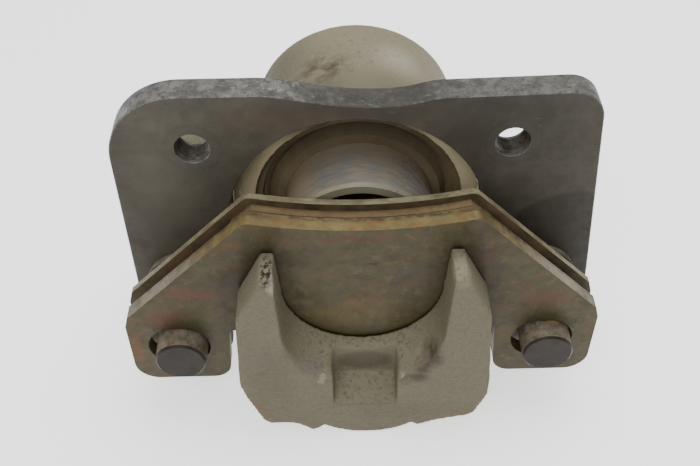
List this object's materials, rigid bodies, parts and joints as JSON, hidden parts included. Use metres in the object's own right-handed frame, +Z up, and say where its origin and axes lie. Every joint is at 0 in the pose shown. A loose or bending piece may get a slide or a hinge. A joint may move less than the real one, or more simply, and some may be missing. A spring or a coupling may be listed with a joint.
{
  "type": "brake caliper",
  "caption": "Sliding disc brake caliper on a steel mounting plate: single piston, claw body, and pads hung on guide pins.",
  "frame": {"origin": "midway between the two threaded mounting holes, on the mounting plate's inboard face", "axes": "+X along the row of mounting holes, +Y inboard along the piston axis, +Z up, away from the bridge"},
  "size_m": [0.1825, 0.1414, 0.1278],
  "materials": {
    "plate_steel": "matt, dark oxide skin",
    "pin_steel": "black oxide, worn",
    "cast_iron": "sand cast, matt",
    "piston_steel": "ground, worn",
    "seal_rubber": "matt",
    "spring_steel": "dark oxide",
    "pad_steel": "yellow zinc, worn",
    "lining": "matt moulded friction material",
    "bush_bronze": "satin",
    "zinc_fitting": "satin zinc",
    "copper_washer": "satin"
  },
  "bodies": {
    "carrier": {"mounting_plate": "plate_steel", "guide_pin_left": "pin_steel", "guide_pin_right": "pin_steel", "pin_snap_rings": "spring_steel"},
    "caliper": {"caliper_body": "cast_iron", "piston_seal": "seal_rubber", "dust_seal": "seal_rubber", "dust_seal_ring": "spring_steel", "guide_bush_left": "bush_bronze", "guide_bush_right": "bush_bronze", "bush_seals": "seal_rubber", "bleed_screw": "zinc_fitting", "bleed_cap": "seal_rubber", "inlet_washer": "copper_washer", "inlet_adapter": "zinc_fitting"},
    "piston": {"piston": "piston_steel"},
    "inner_pad": {"inner_backing": "pad_steel", "inner_lining": "lining"},
    "outer_pad": {"outer_backing": "pad_steel", "outer_lining": "lining"}
  },
  "joints": [
    {"name": "caliper_slide", "type": "slide", "parent": "carrier", "child": "caliper", "axis": [0, 1, 0], "range_m": [-0.007, 0]},
    {"name": "outer_pad_slide", "type": "slide", "parent": "carrier", "child": "outer_pad", "axis": [0, 1, 0], "range_m": [-0.007, 0]},
    {"name": "piston_slide", "type": "slide", "parent": "caliper", "child": "piston", "axis": [0, 1, 0], "range_m": [0, 0.0083]},
    {"name": "inner_pad_slide", "type": "slide", "parent": "piston", "child": "inner_pad", "axis": [0, 1, 0], "range_m": [0, 0.0058]}
  ],
  "couplings": [
    {"joint": "outer_pad_slide", "follows": "caliper_slide", "ratio": 1}
  ]
}
